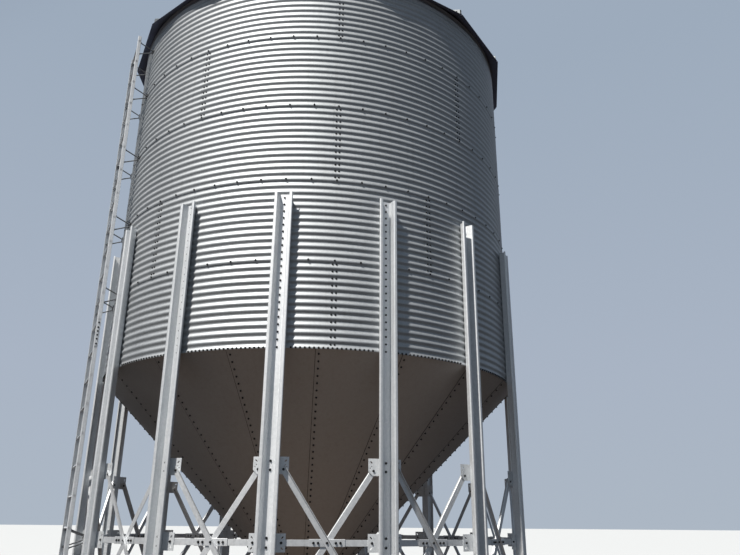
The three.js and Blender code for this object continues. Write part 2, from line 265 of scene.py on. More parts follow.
def make_piece(name, parts, stands_for):
    """One object from (shape, finish) parts, riding on the silo in place of some nodes."""
    global faces_made
    points, faces = joined([shape for shape, _ in parts])
    mesh = bpy.data.meshes.new(name)
    mesh.from_pydata(points.tolist(), [], faces)
    finishes = list(dict.fromkeys(finish for _, finish in parts))
    which, tone = [], []
    for (_, part_faces), finish in parts:
        which += [finishes.index(finish)] * len(part_faces)
        tone += [chance.uniform(-1, 1)] * len(part_faces)
    for finish in finishes:
        mesh.materials.append(finish)
    mesh.polygons.foreach_set("material_index", which)
    mesh.attributes.new("tone", "FLOAT", "FACE").data.foreach_set("value", tone)
    mesh.polygons.foreach_set("use_smooth", [True] * len(faces))
    mesh.set_sharp_from_angle(angle=CREASE)
    piece = new_object(name, mesh)
    # Large flats keep their own shading beside the small faces of a bend
    piece.modifiers.new("flats", "WEIGHTED_NORMAL").keep_sharp = True
    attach(piece, "root")
    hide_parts(*stands_for)
    mesh.calc_loop_triangles()
    faces_made += len(mesh.loop_triangles)
    print(f"{name}: {len(mesh.loop_triangles)} triangles")


# %% [markdown]
# ## Colours and nodes
# Colours are written as sRGB hex values, while Blender's sockets want linear light, so one
# function converts them. Another adds a node with its settings and links, which keeps a finish
# readable as a list of what it is made of.

# %% Colour conversion and the node helper
def linear(code):
    channels = [int(code[i:i + 2], 16) / 255 for i in (1, 3, 5)]
    curve = [c / 12.92 if c <= 0.04045 else ((c + 0.055) / 1.055) ** 2.4 for c in channels]
    return (*curve, 1.0)


def add_node(tree, kind, settings=None, links=None, **fields):
    node = tree.nodes.new(kind)
    for field, value in fields.items():
        setattr(node, field, value)
    for socket, value in (settings or {}).items():
        node.inputs[socket].default_value = value
    for socket, source in (links or {}).items():
        tree.links.new(source, node.inputs[socket])
    return node


def new_finish(name, colour, metallic):
    """A material, its node tree and the place of each point on it."""
    finish = bpy.data.materials.new(name)
    finish.use_nodes = True
    finish.diffuse_color = linear(colour)
    tree = finish.node_tree
    tree.nodes["Principled BSDF"].inputs["Metallic"].default_value = metallic
    return finish, tree, add_node(tree, "ShaderNodeTexCoord").outputs["Object"]


def dress(tree, colour, pattern, smooth, rough):
    """Joins a colour to the surface, and a roughness that follows a pattern from nought to one."""
    surface = tree.nodes["Principled BSDF"].inputs
    dull = add_node(tree, "ShaderNodeMapRange", {"To Min": smooth, "To Max": rough}, {"Value": pattern})
    tree.links.new(colour, surface["Base Color"])
    tree.links.new(dull.outputs[0], surface["Roughness"])


frame_finishes = len(bpy.data.materials)
print("finishes in the frame:", frame_finishes)

# %% [markdown]
# ## The finish: hot-dipped zinc
# Almost every piece is galvanised steel. Zinc freezes on the hot steel in flat crystals, the
# spangle, each of which catches the light a little differently. Rain draws faint streaks down it
# and dust dulls it. From the camera a crystal is about one pixel wide, so the spangle is a fine
# liveliness and not a pattern. An image would repeat on so large a part, so one function makes
# the family from noise: tight spangle for thin sheet, and coarse and pale for section steel.

# %% Galvanised steel
# Width in metres of the clouds of uneven cooling and of the rain streaks, and their stretch
CLOUD, STREAK, STREAK_STRETCH = 1 / 3, 1 / 33, 20.0
CRYSTAL_SHARE, CLOUD_SHARE, SHEET_SHARE = 0.45, 0.55, 0.12
WET_FROM, WET_TO = 0.52, 0.72


def galvanised(name, light, dark, crystal, metallic, roughness, streak=0.12, dust="#7f7c76"):
    finish, tree, place = new_finish(name, light, metallic)
    spangle = add_node(tree, "ShaderNodeTexVoronoi", {"Scale": 1 / crystal}, {"Vector": place})
    shade = add_node(tree, "ShaderNodeSeparateColor", links={"Color": spangle.outputs["Color"]})
    clouds = add_node(tree, "ShaderNodeTexNoise", {"Scale": 1 / CLOUD, "Detail": 4.0}, {"Vector": place})
    tall = add_node(tree, "ShaderNodeMapping", {"Scale": (1, 1, 1 / STREAK_STRETCH)}, {"Vector": place})
    rain = add_node(tree, "ShaderNodeTexNoise", {"Scale": 1 / STREAK, "Detail": 3.0},
                    {"Vector": tall.outputs[0]})
    # Crystals, clouds and the sheet's own tone, summed
    tone = add_node(tree, "ShaderNodeAttribute", attribute_name="tone").outputs["Fac"]
    mixed = add_node(tree, "ShaderNodeMath", {1: CRYSTAL_SHARE}, {0: shade.outputs[0]},
                     operation="MULTIPLY")
    for source, share in ((clouds.outputs[0], CLOUD_SHARE), (tone, SHEET_SHARE)):
        mixed = add_node(tree, "ShaderNodeMath", {1: share}, {0: source, 2: mixed.outputs[0]},
                         operation="MULTIPLY_ADD")
    zinc = add_node(tree, "ShaderNodeMix", {"A": linear(dark), "B": linear(light)},
                    {"Factor": mixed.outputs[0]}, data_type="RGBA")
    dirt = add_node(tree, "ShaderNodeMapRange",
                    {"From Min": WET_FROM, "From Max": WET_TO, "To Max": streak},
                    {"Value": rain.outputs[0]})
    coat = add_node(tree, "ShaderNodeMix", {"B": linear(dust)},
                    {"Factor": dirt.outputs[0], "A": zinc.outputs["Result"]}, data_type="RGBA")
    dress(tree, coat.outputs["Result"], mixed.outputs[0], roughness - 0.05, roughness + 0.07)
    return finish


# Thin sheet dipped in a continuous line: small crystals and a bright, even surface
wall_sheet = galvanised("galvanised_wall_sheet", "#bcc0c3", "#a7abae", 11 * MM, 0.68, 0.56)
# Section steel dipped after forming: larger crystals and a paler, rougher surface
leg_steel = galvanised("galvanised_leg_steel", "#e9ebed", "#d5d9dc", 18 * MM, 0.64, 0.58)
brace_steel = galvanised("galvanised_brace_steel", "#e4e6e8", "#cfd2d5", 16 * MM, 0.66, 0.54)
# The cone never sees the sun: its zinc is painted darker and browner than the wall's, as painted
# shade and a painted reflection of the brown ground, and its streaks are a brown dust
hopper_sheet = galvanised("shade_toned_hopper_sheet", "#b0acaa", "#a29d99", 14 * MM, 0.6, 0.55,
                          0.15, "#8a8078")
roof_sheet = galvanised("galvanised_roof_sheet", "#b2b6b9", "#9a9fa2", 11 * MM, 0.8, 0.7)
ladder_steel = galvanised("galvanised_ladder_steel", "#eef0f2", "#d6d9dc", 14 * MM, 0.35, 0.38)
# The ladder's thin arms get a darker zinc, and the roof's underside is painted darker and bluer
# as painted shade
arm_steel = galvanised("dark_arm_steel", "#75787c", "#5c5f63", 14 * MM, 0.6, 0.5)
roof_underside = galvanised("shade_painted_roof_underside", "#8b93ab", "#70778f", 11 * MM, 0.6, 0.6)
outlet_steel = galvanised("galvanised_outlet_steel", "#b4b8ba", "#94999c", 16 * MM, 0.8, 0.5)
print("galvanised finishes:", len(bpy.data.materials) - frame_finishes)

# %% [markdown]
# ## The finish: bolt heads and mastic, with painted shade
# Silo bolts are zinc-plated and sit on a black sealing washer. Their heads are painted a dark grey
# for the shade in and round them, so from the ground each one is a dark dot with a speck of light.
# Laps are sealed with a grey-black mastic, whose dark line also paints the thin shadow at each
# lap's edge.

# %% Bolts and mastic with painted shade, and welds
def plain_finish(name, pale, deep, grain, metallic, roughness):
    finish, tree, place = new_finish(name, pale, metallic)
    speckle = add_node(tree, "ShaderNodeTexNoise", {"Scale": 1 / grain, "Detail": 2.0},
                       {"Vector": place})
    colour = add_node(tree, "ShaderNodeMix", {"A": linear(deep), "B": linear(pale)},
                      {"Factor": speckle.outputs[0]}, data_type="RGBA")
    dress(tree, colour.outputs["Result"], speckle.outputs[0], roughness - 0.08, roughness + 0.08)
    return finish


# Zinc-plated heads given a dark grey: painted shade
bolt_zinc_painted_dark = plain_finish("zinc_plated_bolt_painted_dark", "#3c3d3f", "#242527", 6 * MM, 0.6, 0.4)
washer_rubber = plain_finish("sealing_washer_rubber", "#1e1e20", "#0e0e10", 4 * MM, 0.0, 0.75)
# Mastic laid in thin dark lines at the laps, which also paint the shadow at each lap's edge
mastic_and_shade_line = plain_finish("lap_mastic_and_shade_line", "#4a4b4c", "#2c2d2e", 5 * MM, 0.0, 0.8)
weld_steel = plain_finish("weld_bead", "#8e9296", "#6a6e72", 5 * MM, 0.7, 0.5)
print("all finishes:", len(bpy.data.materials) - frame_finishes)

# %% [markdown]
# ## Bolts, made once and set in thousands
# Bolts could be instances, but the piece they belong to has to be one object, so a head and a
# washer are made as arrays and copied to all their places in one step. Each copy faces straight
# out of its sheet and is turned by chance, as a spanner leaves it.

# %% Bolt head, washer and the function that sets them
WASHER_HEIGHT = 2.5 * MM


def stacked(levels, sides):
    """Rings of a radius and a height each, filled at the top and open at the foot."""
    rings = [np.pad(circle(radius, sides), ((0, 0), (0, 1)), constant_values=height)
             for radius, height in levels]
    index = np.arange(len(levels) * sides).reshape(-1, sides)
    return np.concatenate(rings), quads(closed(index)) + [tuple(index[-1].tolist())]


def bolt_head(across, height):
    """Hexagonal head with a chamfered top, standing on its washer."""
    radius = across / math.sqrt(3)
    steps = ((1, 0), (1, 0.8), (0.84, 1))
    return stacked([(radius * share, WASHER_HEIGHT + height * rise) for share, rise in steps], 6)


def washer(radius, sides):
    return stacked([(radius, 0.0), (0.86 * radius, WASHER_HEIGHT)], sides)


def set_at(shape, centres, outward):
    """Copies of a small shape, each standing on its centre and facing its own way out."""
    points, faces = shape
    centres = np.array(centres, float).reshape(-1, 3)
    outward = np.broadcast_to(np.array(outward, float), centres.shape)
    outward = outward / np.linalg.norm(outward, axis=1)[:, None]
    side = np.cross(np.where(np.abs(outward[:, 2:]) < 0.9, UP, RIGHT), outward)
    side /= np.linalg.norm(side, axis=1)[:, None]
    top = np.cross(outward, side)
    spin = chance.uniform(0, math.pi / 3, len(centres))[:, None]
    first, second = side * np.cos(spin) + top * np.sin(spin), top * np.cos(spin) - side * np.sin(spin)
    placed = centres[:, None] + points @ np.stack([first, second, outward], axis=1)
    all_faces = [tuple(n * len(points) + i for i in face) for n in range(len(centres)) for face in faces]
    return placed.reshape(-1, 3), all_faces


# Wall bolts are eight-millimetre ones, thirteen across the flats; frame bolts are ten and sixteen
WALL_BOLT = [(washer(10 * MM, 10), washer_rubber), (bolt_head(13 * MM, 6 * MM), bolt_zinc_painted_dark)]
FRAME_BOLT = [(washer(11 * MM, 12), bolt_zinc_painted_dark), (bolt_head(16 * MM, 7 * MM), bolt_zinc_painted_dark)]


def bolts(kind, centres, outward):
    return [(set_at(shape, centres, outward), finish) for shape, finish in kind]


# %% [markdown]
# ## The wall: five rings of corrugated sheet
# The wall's look is its corrugation: sixty-eight millimetres from crest to crest and half an
# inch deep. A bump map would fake the bands of light but not the scalloped outline, so the waves
# are real geometry, eight points to a wave. Each ring is five sheets with bolted laps: the
# right-hand sheet lies on top at an upright lap, and the upper ring at a level one.

# %% Wall dimensions
WALL_RADIUS, WAVE_DEPTH = 2286 * MM, 12.7 * MM
CREST = WALL_RADIUS + WAVE_DEPTH / 2
RING_COUNT, RING_HEIGHT = 5, 812.8 * MM
WAVES_PER_RING, POINTS_PER_WAVE = 12, 8
WAVE = RING_HEIGHT / WAVES_PER_RING
WALL_TOP = RIM + RING_COUNT * RING_HEIGHT
SHEET = 1.5 * MM
SHEETS_PER_RING, COLUMN_ANGLE = 5, 2.25
SHEET_ANGLE = 360 / SHEETS_PER_RING
LAP_HALF = math.degrees(46 * MM / WALL_RADIUS)
LAP_STEP, LEVEL_LAP, RIM_EDGE = 0.8 * MM, 15 * MM, 8 * MM
MASTIC_SHADE_WIDTH, MASTIC_SHADE_DEPTH = math.degrees(3 * MM / WALL_RADIUS), 0.6 * MM
FIRST_SEAM = [12.0, 36.0, 12.0, 48.0, 12.0]
print("wave pitch in mm:", round(WAVE / MM, 2), "wall top:", round(WALL_TOP, 3))


def wall_surface(height):
    """Radius of the corrugated surface, with a crest at the rim and at every ring joint."""
    return WALL_RADIUS + WAVE_DEPTH / 2 * np.cos(2 * math.pi * (height - RIM) / WAVE)


def lapped(places, first, last, flat, slope):
    """Step of a sheet from edge to edge: on top along its first one, underneath along its last."""
    knots = [first, first + flat, first + slope, last - slope, last - flat, last]
    return np.interp(places, knots, [1, 1, 0, 0, -1, -1])


# %% Sheets of one ring
def wall_grid(ring, left, right, inwards):
    """Grid of points on a sheet's outer face, or that far inside it."""
    bottom = RIM + ring * RING_HEIGHT - (LEVEL_LAP if ring > 0 else RIM_EDGE)
    top = RIM + (ring + 1) * RING_HEIGHT + (LEVEL_LAP if ring < RING_COUNT - 1 else 0)
    rows = round((top - bottom) / WAVE * POINTS_PER_WAVE) + 1
    columns = round((right - left) / COLUMN_ANGLE) + 1
    height = np.linspace(bottom, top, rows)[:, None]
    angle = np.linspace(left, right, columns)[None, :]
    step = lapped(angle, left, right, 2 * LAP_HALF, 4 * LAP_HALF) * LAP_STEP
    step = step + lapped(height, bottom, top, 2 * LEVEL_LAP, 4 * LEVEL_LAP) * LAP_STEP
    return on_silo(wall_surface(height) + step - inwards, angle, height)


def ring_sheets(ring, seams):
    """Sheets of a ring, each with a dark mastic line at its left edge that also paints the lap's shadow.
    """
    parts = []
    for seam in seams:
        left, right = seam - LAP_HALF, seam + SHEET_ANGLE + LAP_HALF
        strips = [(left, right, 0, wall_sheet), (left - MASTIC_SHADE_WIDTH, left, MASTIC_SHADE_DEPTH, mastic_and_shade_line)]
        for start, end, sunk, finish in strips:
            outer, inner = wall_grid(ring, start, end, sunk), wall_grid(ring, start, end, SHEET)
            parts.append((shell(outer, inner), finish))
    return parts


# %% Bolts of one ring
RIM_BOLTS, SEAM_BOLTS = 360, 60
BOLT_COLUMN = math.degrees(18 * MM / WALL_RADIUS)
BOLT_SEAT = 1.2 * MM
LEG_COUNT = 15
BAY_ANGLE = 360 / LEG_COUNT
LEG_TOP = RIM + 1455 * MM
LEG_COVER = math.degrees(95 * MM / WALL_RADIUS)


def ring_bolts(ring, seams):
    """Two columns in the valleys of each upright seam, and a row at the foot between the legs."""
    bottom = RIM + ring * RING_HEIGHT
    spots = [(seam + column, bottom + (k + 0.5) * WAVE) for seam in seams
             for k in range(WAVES_PER_RING) for column in (-BOLT_COLUMN, BOLT_COLUMN)]
    count = SEAM_BOLTS if ring > 0 else RIM_BOLTS
    row = np.arange(count) * 360 / count
    off_leg = abs((row + BAY_ANGLE / 2) % BAY_ANGLE - BAY_ANGLE / 2)
    spots += [(angle, bottom) for angle in row[(off_leg > LEG_COVER) | (bottom > LEG_TOP)]]
    angles, heights = np.array(spots).T
    seats = on_silo(wall_surface(heights) + BOLT_SEAT, angles, heights)
    return bolts(WALL_BOLT, seats, directions(angles)[1])


for ring in range(RING_COUNT):
    seams = [FIRST_SEAM[ring] + k * SHEET_ANGLE for k in range(SHEETS_PER_RING)]
    make_piece(f"corrugated_ring_{ring + 1}", ring_sheets(ring, seams) + ring_bolts(ring, seams),
               [f"wall_ring_{ring + 1}"])

# %% [markdown]
# ## The legs: folded hat sections
# A leg is five-millimetre sheet folded to a hat: its web lies against the wall and two flanges
# with short lips face outwards. It is swept upright from its outline, because a sweep keeps the
# bends true from ground to top. A bolt holds it to every crest of the wall, and a base plate with
# four anchor bolts spreads its load.

# %% The outline of a leg, along the wall and outwards from it
FACE_GAP = 0.3 * MM
LEG_BACK = CREST + FACE_GAP
LEG_SHEET, LEG_BEND = 5 * MM, 7 * MM

# Lip, flange, side and web, as points halfway through the sheet
leg_half = np.array([[82.5, 59], [82.5, 72.5], [56, 72.5], [43, 2.5]]) * MM
leg_path = with_bends(np.concatenate([leg_half, (leg_half * [-1, 1])[::-1]]), LEG_BEND, 6)
leg_outline = sheet_outline(leg_path, LEG_SHEET)


def upright(outline, bottom, top, x=0.0, out=LEG_BACK):
    return sweep(outline, [x, -out, bottom], [x, -out, top], RIGHT, OUT)


# %% The base plate, its fillet weld and its anchors
BASE_WIDTH, BASE_DEPTH, BASE_TOP = 260 * MM, 120 * MM, 14 * MM
BASE_CORNER, BASE_EDGE = 12 * MM, 1.5 * MM
WELD_FOOT, WELD_HEAD, WELD_RISE = 10 * MM, 1 * MM, 6 * MM
ANCHOR_SPOTS = [(x * MM, y * MM) for x in (-110, 110) for y in (28, 92)]
# Height and radius of an anchor's washer, its nut and its threaded end
ANCHOR_WASHER, ANCHOR_NUT, ANCHOR_END = (4 * MM, 20 * MM), (20 * MM, 17 * MM), (38 * MM, 9 * MM)


def rounded_rectangle(low, high, radius, steps=4):
    (left, bottom), (right, top) = np.add(low, radius), np.subtract(high, radius)
    centres = [(right, top), (left, top), (left, bottom), (right, bottom)]
    return np.concatenate([centre + circle(radius, 4 * steps, n * math.pi / 2)[:steps + 1]
                           for n, centre in enumerate(centres)])


def base_plate():
    """Plate in two layers, the upper one drawn in by the width of its edge."""
    half, middle = BASE_WIDTH / 2, [0, -(LEG_BACK + BASE_DEPTH / 2)]
    outline = rounded_rectangle([-half, -(LEG_BACK + BASE_DEPTH)], [half, -LEG_BACK], BASE_CORNER)
    inset = middle + (outline - middle) * (1 - BASE_EDGE / half)
    lower = sweep(outline, [0, 0, 0], UP * (BASE_TOP - BASE_EDGE), RIGHT, BACK)
    upper = sweep(inset, UP * (BASE_TOP - 2 * BASE_EDGE), UP * BASE_TOP, RIGHT, BACK)
    return joined([lower, upper])


def foot_weld():
    """Fillet round the leg's foot, from a wider outline on the plate to the leg's own."""
    wide, slim = (upright(sheet_outline(leg_path, LEG_SHEET + extra), BASE_TOP, BASE_TOP + WELD_RISE)
                  for extra in (WELD_FOOT, WELD_HEAD))
    half = len(wide[0]) // 2
    return np.concatenate([wide[0][:half], slim[0][half:]]), wide[1]


def anchors():
    parts = []
    for x, y in ANCHOR_SPOTS:
        spot = np.array([x, -(LEG_BACK + y), BASE_TOP])
        seat = spot + UP * ANCHOR_WASHER[0]
        parts.append(bar(spot, spot + UP * ANCHOR_END[0], ANCHOR_END[1], 10))
        parts.append(bar(seat, spot + UP * ANCHOR_NUT[0], ANCHOR_NUT[1], 6, chance.uniform(0, 1)))
        parts.append(bar(spot, seat, ANCHOR_WASHER[1], 16))
    return joined(parts)


# %% Legs with their bolts, fifteen times round
STRUT_HEIGHT = RIM - 1576 * MM
GUSSET_CENTRES = [STRUT_HEIGHT + rise for rise in (590 * MM, 0, -590 * MM)]
CREST_BOLTS, PAIR_HALF = 22, 35 * MM


def web_bolts():
    """One bolt to each crest of the wall, and a pair to each gusset plate."""
    web = OUT * (LEG_BACK + LEG_SHEET)
    wall = [web + UP * (RIM + k * WAVE) for k in range(CREST_BOLTS)]
    pairs = [web + UP * (z + side * PAIR_HALF) for z in GUSSET_CENTRES for side in (-1, 1)]
    return bolts(WALL_BOLT, wall, OUT) + bolts(FRAME_BOLT, pairs, OUT)


for n in range(LEG_COUNT):
    leg_parts = [(upright(leg_outline, BASE_TOP - WELD_HEAD, LEG_TOP), leg_steel),
                 (base_plate(), leg_steel), (foot_weld(), weld_steel), (anchors(), bolt_zinc_painted_dark)]
    make_piece(f"hat_section_leg_{n + 1:02d}", parts_at(leg_parts + web_bolts(), n * BAY_ANGLE),
               [f"leg_{n + 1:02d}"])

# %% [markdown]
# ## The bracing between the legs
# Between two legs run a level strut and a crossed pair of angle braces, bolted to three gusset
# plates on each leg. The gussets are laser-cut with slots for fitting up, so they are drawn flat
# as filled curves with real holes and then bent where they leave the leg's web.

# %% Gusset plates
GUSSET, GUSSET_HEIGHT = 6 * MM, 140 * MM
TAIL_START, BEND_LINE, GUSSET_TIP = 4 * MM, 50 * MM, 150 * MM
CHAMFER, SLOT_X = 36 * MM, 124 * MM
GUSSET_HOLES = [(121, 6), (134, -9)]
HALF_BAY = math.radians(BAY_ANGLE / 2)
GUSSET_RADIUS = CREST - GUSSET / 2
BAY_DISTANCE = GUSSET_RADIUS * math.cos(HALF_BAY) + BEND_LINE * math.sin(HALF_BAY)
LEG_ACROSS = BAY_DISTANCE * math.tan(HALF_BAY)
print("bay plane in mm:", round(BAY_DISTANCE / MM, 1), "to the leg:", round(LEG_ACROSS / MM, 1))


def hung(outlines, bend, along):
    """Punched plate stood upright, its bend line at a point and its x along a direction."""
    points, faces = punched_plate(outlines, GUSSET)
    flat = points - [BEND_LINE, 0, GUSSET / 2]
    return bend + flat @ np.stack([along, UP, np.cross(along, UP)]), faces


def gusset_at(height, taper):
    """Plate at the left end of a bay, drawn in x towards the bay's middle and y upwards."""
    half = GUSSET_HEIGHT / 2
    wing = [[BEND_LINE, -half], [GUSSET_TIP, -half], [GUSSET_TIP, half], [BEND_LINE, half]]
    if taper < 0:
        wing[1:2] = [[GUSSET_TIP - CHAMFER, -half], [GUSSET_TIP, -half + CHAMFER]]
    if taper > 0:
        wing[2:3] = [[GUSSET_TIP, half - CHAMFER], [GUSSET_TIP - CHAMFER, half]]
    turn = -taper if taper else 1
    holes = [slot_hole(SLOT_X, turn * 38 * MM, 45 * turn)]
    if taper:
        holes += [round_hole(x * MM, turn * y * MM) for x, y in GUSSET_HOLES]
    else:
        holes.append(slot_hole(SLOT_X, -42 * MM, -45))
    tail = [[TAIL_START, -half], [BEND_LINE, -half], [BEND_LINE, half], [TAIL_START, half]]
    bend = np.array([BEND_LINE - LEG_ACROSS, -BAY_DISTANCE, height])
    to_leg = RIGHT * math.cos(HALF_BAY) - BACK * math.sin(HALF_BAY)
    return joined([hung([wing, *holes], bend, RIGHT), hung([tail], bend, to_leg)])


# %% Braces of angle section, and the strut with its splice
BRACE_ACROSS, BRACE_RISE = 372 * MM, 560 * MM
BRACE_REACH, BRACE_PAST = math.hypot(BRACE_ACROSS, BRACE_RISE), 25 * MM
ANGLE_SHEET, ANGLE_HALF, ANGLE_DEPTH = 4 * MM, 25 * MM, 20 * MM
STRUT_SHEET, STRUT_HALF, STRUT_GAP = 3 * MM, 25 * MM, 1 * MM
STRUT_END = LEG_ACROSS - GUSSET_TIP + 60 * MM
REAR_GAP = 3.2 * MM
SPLICE_HALF, SLEEVE_SHEET = 145 * MM, 2.8 * MM
SPLICE_BOLTS = [-108 * MM, -71 * MM, 0.0, 71 * MM, 108 * MM]


def brace(side):
    """Side +1 lies outside the gussets and falls to the right; -1 lies inside and rises."""
    face = GUSSET / 2 + (REAR_GAP if side < 0 else 0) + ANGLE_SHEET / 2
    fold = ANGLE_HALF - ANGLE_SHEET / 2
    path = with_bends([[-ANGLE_HALF, 0], [fold, 0], [fold, ANGLE_DEPTH]], 6 * MM, 5)
    slope = np.array([BRACE_ACROSS, 0, -side * BRACE_RISE]) / BRACE_REACH
    across = np.array([side * BRACE_RISE, 0, BRACE_ACROSS]) / BRACE_REACH
    centre = np.array([0, -BAY_DISTANCE - side * face, STRUT_HEIGHT])
    reach = slope * (BRACE_REACH + BRACE_PAST)
    return sweep(sheet_outline(path, ANGLE_SHEET), centre - reach, centre + reach, across, side * OUT)


def strut():
    """Two flat bars end to end, with a folded sleeve over their joint."""
    flat = rounded_rectangle([-STRUT_HALF, -STRUT_SHEET / 2], [STRUT_HALF, STRUT_SHEET / 2], 1 * MM, 2)
    path = np.array([[-28, -6], [-28, 1.4], [28, 1.4], [28, -6]]) * MM
    sleeve = sheet_outline(with_bends(path, 3 * MM), SLEEVE_SHEET)
    behind = GUSSET / 2 + STRUT_SHEET / 2
    lengths = [(flat, behind, -STRUT_END, -STRUT_GAP), (flat, behind, STRUT_GAP, STRUT_END),
               (sleeve, 0, -SPLICE_HALF, SPLICE_HALF)]
    return joined([sweep(outline, [start, y - BAY_DISTANCE, STRUT_HEIGHT],
                         [end, y - BAY_DISTANCE, STRUT_HEIGHT], UP, OUT)
                   for outline, y, start, end in lengths])


# %% Bolts of a bay
def bay_bolts():
    """Heads on the outer face and nuts on the inner one, over the sheets that they join."""
    spots = []
    for s in (-1, 1):
        spots.append((s * BRACE_ACROSS, -s * BRACE_RISE, ANGLE_SHEET, 0))
        spots.append((s * BRACE_ACROSS, s * BRACE_RISE, 0, REAR_GAP + ANGLE_SHEET))
        spots.append((s * (STRUT_END - 26 * MM), 0, 0, STRUT_SHEET))
    for x in SPLICE_BOLTS:
        crossed = ANGLE_SHEET if x == 0 else 0
        spots.append((x, 0, crossed, REAR_GAP + crossed))
    x, rise, outside, inside = np.array(spots).T
    parts = []
    for way, sheets in ((-1, outside), (1, inside)):
        y = way * (GUSSET / 2 + sheets) - BAY_DISTANCE
        parts += bolts(FRAME_BOLT, np.stack([x, y, STRUT_HEIGHT + rise], axis=-1), way * BACK)
    return parts


left_gussets = [gusset_at(z, taper) for z, taper in zip(GUSSET_CENTRES, (-1, 0, 1))]
gussets = joined(left_gussets + [mirrored(plate) for plate in left_gussets])
for n in range(LEG_COUNT):
    bay_parts = [(gussets, leg_steel), (brace(1), brace_steel), (brace(-1), brace_steel),
                 (strut(), brace_steel), *bay_bolts()]
    make_piece(f"cross_braced_bay_{n + 1:02d}", parts_at(bay_parts, (n + 0.5) * BAY_ANGLE),
               [f"brace_bay_{n + 1:02d}"])

# %% [markdown]
# ## The hopper cone
# Under the wall hangs a cone of forty-five degrees, made of eighteen plain sheets that lap along
# sloping seams, each with one row of bolts three inches apart. From below it is a quiet dark
# surface, and those dotted lines are all that shows how it is made.

# %% Hopper panels
PANEL_COUNT, FIRST_PANEL = 18, 9.1
PANEL_ANGLE = 360 / PANEL_COUNT
OUTLET_RADIUS = 205 * MM
HOPPER_BOTTOM = RIM - (WALL_RADIUS - OUTLET_RADIUS)
HOPPER_SHEET, HOPPER_EDGE = 3 * MM, 12 * MM
SEAM_EDGE, SEAM_LIFT, MASTIC_SHADE_LINE = 28 * MM, 1.6 * MM, 4 * MM
SEAM_BOLT_PITCH, FIRST_SEAM_BOLT, LAST_SEAM_BOLT = 76.2 * MM, 65 * MM, 50 * MM
HOPPER_BOLT_SEAT = 1.8 * MM
DIAGONAL = math.sqrt(0.5)

# Outer face from the outlet to the rim, and a last strip that meets the wall
cone_rows = np.linspace(OUTLET_RADIUS, WALL_RADIUS - HOPPER_EDGE, 9)
CONE_RADIUS = np.append(cone_rows, WALL_RADIUS - 0.3 * HOPPER_EDGE)[:, None]
CONE_HEIGHT = np.append(HOPPER_BOTTOM + cone_rows - OUTLET_RADIUS, RIM - 0.5 * HOPPER_EDGE)[:, None]


def cone_sheet(angle, lift):
    """Sheet at a distance straight out from the cone's face."""
    return shell(*[on_silo(CONE_RADIUS + out * DIAGONAL, angle, CONE_HEIGHT - out * DIAGONAL)
                   for out in (lift, lift - HOPPER_SHEET)])


def hopper_panel(seam):
    """Panel with each edge a steady distance past its seam, and dark mastic at its upper edge as painted
    shadow.
    """
    past = np.degrees(SEAM_EDGE / CONE_RADIUS)
    share = np.linspace(0, 1, 12)
    angle = (seam - past) + (PANEL_ANGLE + 2 * past) * share
    line = seam - np.degrees([SEAM_EDGE + MASTIC_SHADE_LINE, SEAM_EDGE] / CONE_RADIUS)
    return [(cone_sheet(angle, lapped(share, 0, 1, 0.06, 0.2) * SEAM_LIFT), hopper_sheet),
            (cone_sheet(line, 0.8 * SEAM_LIFT), mastic_and_shade_line)]


seams = FIRST_PANEL + np.arange(PANEL_COUNT) * PANEL_ANGLE
slant = (WALL_RADIUS - OUTLET_RADIUS) / DIAGONAL
along = np.arange(FIRST_SEAM_BOLT, slant - LAST_SEAM_BOLT, SEAM_BOLT_PITCH) * DIAGONAL + HOPPER_BOLT_SEAT
heads = on_silo(OUTLET_RADIUS + along, seams[:, None], HOPPER_BOTTOM + along - 2 * HOPPER_BOLT_SEAT)
hopper_parts = [part for seam in seams for part in hopper_panel(seam)]
hopper_parts += bolts(WALL_BOLT, heads, np.repeat(directions(seams)[1] - UP, len(along), axis=0))
make_piece("hopper_panels", hopper_parts, ["hopper_cone"])

# %% [markdown]
# ## The outlet and its slide gate
# The outlet collar, the gate and its rails are plain plate, and the frame's own nodes have their
# true shape already. So they stay, with a weld so that their faces share edges again, a small
# bevel that catches the light as a cut edge does, and a better finish. The fastenings are added.

# %% Outlet nodes, with softened edges and a real finish
for name in ("outlet_collar", "slide_gate", "gate_rail_left", "gate_rail_right"):
    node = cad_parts[name]
    node.modifiers.new("weld", "WELD").merge_threshold = 0.01 * MM
    bevel = node.modifiers.new("edge", "BEVEL")
    bevel.width = 1.5 * MM
    bevel.segments = 2
    bevel.limit_method = "ANGLE"
    bevel.angle_limit = math.radians(40)
    for slot in node.material_slots:
        slot.material = outlet_steel
    print("kept:", name, [slot.material.name for slot in node.material_slots])

# %% Flange bolts, a band round the collar's joint and its weld
FLANGE, BAND_SHEET = 10 * MM, 4 * MM
FLANGE_BOLTS = [(x, y) for x in (-252, 252) for y in (-225, -135, -45, 45, 135, 225)]
flange_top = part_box("outlet_collar")[0].z + FLANGE
centres = [AXIS + [x * MM, y * MM, flange_top] for x, y in FLANGE_BOLTS]
band = np.array([[0, -34], [4, -34], [4, -6], [0, -6]]) * MM + [OUTLET_RADIUS, HOPPER_BOTTOM]
weld = np.array([[0, 0], [7, 0], [0, 7]]) * MM + [OUTLET_RADIUS, flange_top]
angles = np.arange(12) * 30.0 + 15.0
heads = on_silo(OUTLET_RADIUS + BAND_SHEET, angles, HOPPER_BOTTOM - 20 * MM)
fittings = [(turned(band, 60), outlet_steel), (turned(weld, 60), weld_steel),
            *bolts(FRAME_BOLT, centres, UP), *bolts(WALL_BOLT, heads, directions(angles)[1])]
make_piece("outlet_fittings", fittings, [])

# %% [markdown]
# ## The roof
# Fifteen flat sheets rise at thirty degrees to the peak. Each is folded up at its sides, and a
# folded cap bolted over every joint makes a rib. The sheets pass the wall by a hand's breadth,
# so from the ground the roof is a dark eave with a corner over every leg.

